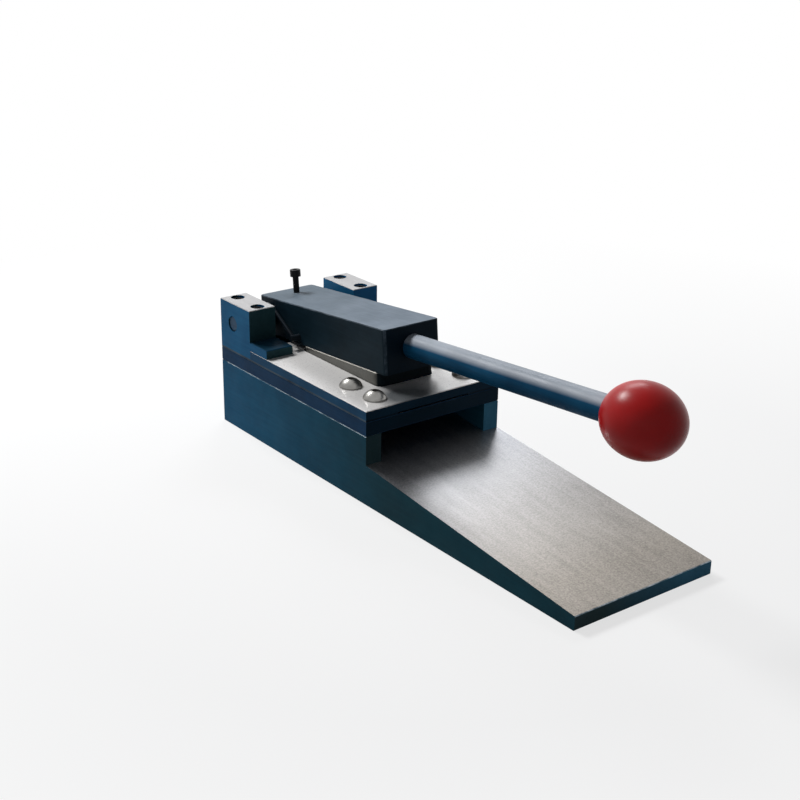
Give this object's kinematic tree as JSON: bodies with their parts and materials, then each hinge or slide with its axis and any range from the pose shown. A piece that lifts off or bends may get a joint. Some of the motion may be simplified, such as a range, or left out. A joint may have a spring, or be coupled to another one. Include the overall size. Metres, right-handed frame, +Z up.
{
  "type": "corner rounder",
  "caption": "Hand-lever corner rounder: a punch on a hinged lever trims a card with rounded corners through a die, and the piece slides down a ramp.",
  "frame": {"origin": "underside of the base, on the centre line, below the front face of the die body", "axes": "+X to the right as the user faces the handle's hinge, +Y to the rear along the base, +Z up"},
  "size_m": [0.1, 0.3496, 0.117],
  "materials": {
    "blue_steel": "satin",
    "blue_die_steel": "satin",
    "bright_shim": "satin",
    "ground_steel": "ground",
    "blue_ear_steel": "satin",
    "dark_steel": "satin",
    "black_screw": "black oxide",
    "bright_screw": "polished",
    "tool_steel": "ground",
    "lever_steel": "satin",
    "rod_steel": "satin",
    "red_plastic": "gloss",
    "brass_insert": "turned",
    "punch_steel": "ground",
    "spring_steel": "oiled"
  },
  "bodies": {
    "base": {"ramp_base": "blue_steel", "left_riser": "blue_steel", "right_riser": "blue_steel", "rear_plate": "blue_steel", "die_plate": "blue_die_steel", "left_guide_strip": "bright_shim", "right_guide_strip": "bright_shim", "stop_strip": "bright_shim", "stripper_plate": "ground_steel", "left_ear": "blue_ear_steel", "right_ear": "blue_ear_steel", "lever_stop": "dark_steel", "ear_screws": "black_screw", "stripper_screws": "bright_screw", "die_screws": "black_screw", "riser_screws": "black_screw", "rear_screws": "black_screw", "stop_screws": "black_screw", "die_dowels": "tool_steel", "left_spring": "spring_steel", "right_spring": "spring_steel"},
    "lever": {"lever_block": "lever_steel", "pivot_pin": "tool_steel", "lock_screw": "black_screw", "handle_rod": "rod_steel", "knob": "red_plastic", "knob_insert": "brass_insert", "punch": "punch_steel", "punch_screws": "black_screw", "punch_dowels": "tool_steel", "spring_pins": "tool_steel"}
  },
  "joints": [
    {"name": "lever_hinge", "type": "hinge", "parent": "base", "child": "lever", "pos_m": [0, 0.1464, 0.0713], "axis": [1, 0, 0], "range_deg": [0, 3.9], "stiffness_Nm_per_rad": 4, "springref_deg": -40.11, "deforming": ["left_spring", "right_spring"]}
  ]
}
